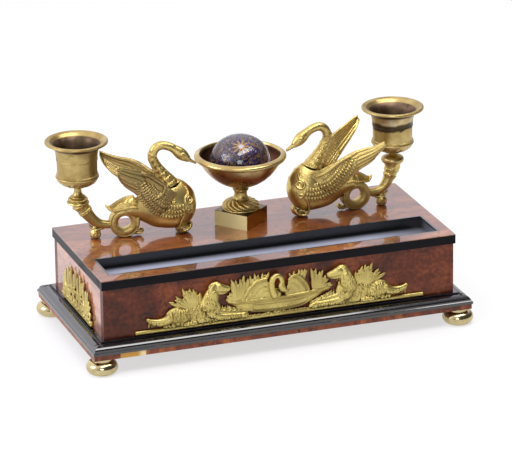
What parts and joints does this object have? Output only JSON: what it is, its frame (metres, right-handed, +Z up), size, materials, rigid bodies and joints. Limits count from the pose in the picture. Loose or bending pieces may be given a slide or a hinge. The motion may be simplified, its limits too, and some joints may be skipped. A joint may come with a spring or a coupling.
{
  "type": "desk inkstand",
  "caption": "Veneered desk inkstand with pen tray, end drawer, glass weight on a tazza, and swans whose lifting necks open ink and pounce pots and whose tails carry candle cups.",
  "frame": {"origin": "middle of the footprint, on the surface that the feet stand on", "axes": "+Z up, +X to the right along the long side, -Y towards the front with the pen tray"},
  "size_m": [0.3178, 0.1574, 0.1552],
  "materials": {
    "burr_veneer": "French-polished burr veneer, red-brown with darker figure",
    "ebonised_wood": "black, polished",
    "pine": "plain planed softwood",
    "gilt_brass": "matte fire-gilt with burnished edges and dark recesses",
    "polished_brass": "polished, pale",
    "blue_glass": "dark blue glass with gold stars under the surface",
    "steel": "dull turned steel",
    "white_metal": "dull tinned metal"
  },
  "bodies": {
    "case": {"bottom_board": "burr_veneer", "plinth_moulding": "ebonised_wood", "front_panel": "burr_veneer", "back_panel": "burr_veneer", "left_panel": "burr_veneer", "right_rails": "burr_veneer", "top_board": "pine", "edge_band": "ebonised_wood", "top_veneer": "burr_veneer", "pen_tray": "ebonised_wood", "drawer_runners": "pine", "foot_front_left": "polished_brass", "foot_front_right": "polished_brass", "foot_back_left": "polished_brass", "foot_back_right": "polished_brass", "front_mount": "gilt_brass", "left_mount": "gilt_brass", "mount_pins": "gilt_brass", "tazza_block": "gilt_brass", "tazza_foot": "gilt_brass", "tazza_stem": "gilt_brass", "tazza_bowl": "gilt_brass", "tazza_rod": "steel", "tazza_nut": "steel", "left_body": "gilt_brass", "left_ink_pot": "white_metal", "left_hinge_seat": "gilt_brass", "left_hinge_pin": "steel", "left_near_wing": "gilt_brass", "left_far_wing": "gilt_brass", "left_front_foot": "gilt_brass", "left_tail": "gilt_brass", "left_horn": "gilt_brass", "left_cup": "gilt_brass", "left_studs": "steel", "right_body": "gilt_brass", "right_pounce_pot": "white_metal", "right_hinge_seat": "gilt_brass", "right_hinge_pin": "steel", "right_near_wing": "gilt_brass", "right_far_wing": "gilt_brass", "right_front_foot": "gilt_brass", "right_tail": "gilt_brass", "right_horn": "gilt_brass", "right_cup": "gilt_brass", "right_studs": "steel"},
    "drawer": {"drawer_front": "burr_veneer", "drawer_sides": "pine", "drawer_back": "pine", "drawer_bottom": "pine", "right_mount": "gilt_brass", "drawer_mount_pins": "gilt_brass"},
    "weight": {"glass_weight": "blue_glass"},
    "left_lid": {"left_lid": "gilt_brass", "left_hinge_leaf": "gilt_brass"},
    "right_lid": {"right_lid": "gilt_brass", "right_hinge_leaf": "gilt_brass"},
    "left_pan": {"left_drip_pan": "gilt_brass"},
    "right_pan": {"right_drip_pan": "gilt_brass"}
  },
  "joints": [
    {"name": "drawer_slide", "type": "slide", "parent": "case", "child": "drawer", "axis": [1, 0, 0], "range_m": [0, 0.12]},
    {"name": "weight_lift", "type": "slide", "parent": "case", "child": "weight", "axis": [0, 0, 1], "range_m": [0, 0.035]},
    {"name": "left_lid_hinge", "type": "hinge", "parent": "case", "child": "left_lid", "pos_m": [-0.07949, 0.02302, 0.1103], "axis": [-0.1599, -0.9871, 0], "range_deg": [0, 65]},
    {"name": "right_lid_hinge", "type": "hinge", "parent": "case", "child": "right_lid", "pos_m": [0.07487, 0.01973, 0.1103], "axis": [-0.0175, 0.9998, 0], "range_deg": [0, 65]},
    {"name": "left_pan_lift", "type": "slide", "parent": "case", "child": "left_pan", "axis": [0, 0, 1], "range_m": [0, 0.03]},
    {"name": "right_pan_lift", "type": "slide", "parent": "case", "child": "right_pan", "axis": [0, 0, 1], "range_m": [0, 0.03]}
  ]
}
